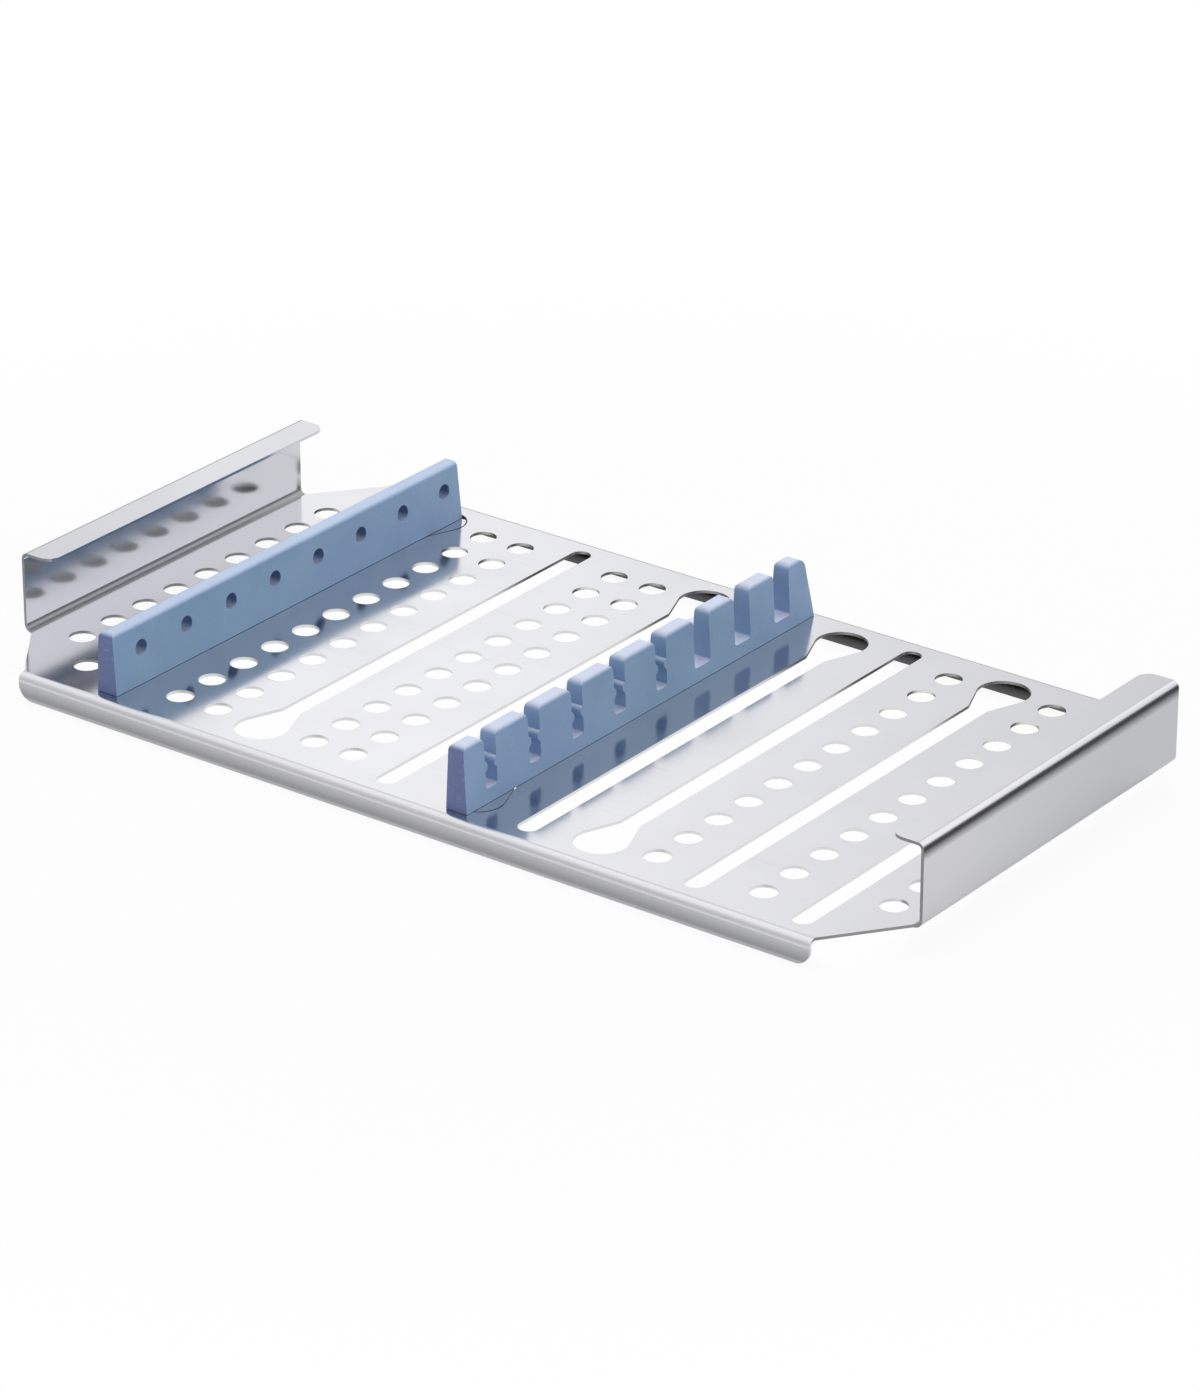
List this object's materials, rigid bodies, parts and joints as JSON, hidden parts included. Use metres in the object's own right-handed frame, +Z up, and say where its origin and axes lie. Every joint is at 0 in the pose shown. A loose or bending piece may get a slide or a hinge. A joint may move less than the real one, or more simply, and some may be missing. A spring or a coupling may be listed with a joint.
{
  "type": "dental instrument cassette",
  "caption": "Perforated folded-steel instrument tray with low lips, flanged end walls, keyhole slots and two silicone bars, one notched, that hold instruments across it.",
  "frame": {"origin": "middle of the tray, on the surface that its lips stand on", "axes": "+X along the tray, from the rest bar's end to the notched bar's; +Y across it; +Z up"},
  "size_m": [0.2806, 0.1538, 0.0287],
  "materials": {
    "polished_steel": "electropolished stainless sheet",
    "silicone": "satin moulded silicone, steel blue",
    "stud_steel": "turned stainless steel",
    "core_steel": "plain stainless strip"
  },
  "bodies": {
    "tray_body": {"tray": "polished_steel"},
    "rest_bar_body": {"rest_bar": "silicone", "rest_bar_core": "core_steel", "rest_bar_stud": "stud_steel", "rest_bar_plate": "polished_steel"},
    "notched_bar_body": {"notched_bar": "silicone", "notched_bar_core": "core_steel", "notched_bar_stud": "stud_steel", "notched_bar_plate": "polished_steel"}
  },
  "joints": [
    {"name": "rest_bar_tilt", "type": "hinge", "parent": "tray_body", "child": "rest_bar_body", "pos_m": [-0.09692, -0.0726, 0.0071], "axis": [1, 0, 0], "range_deg": [0, 5]},
    {"name": "notched_bar_tilt", "type": "hinge", "parent": "tray_body", "child": "notched_bar_body", "pos_m": [0.01558, 0.074, 0.0071], "axis": [-1, 0, 0], "range_deg": [0, 5]}
  ]
}
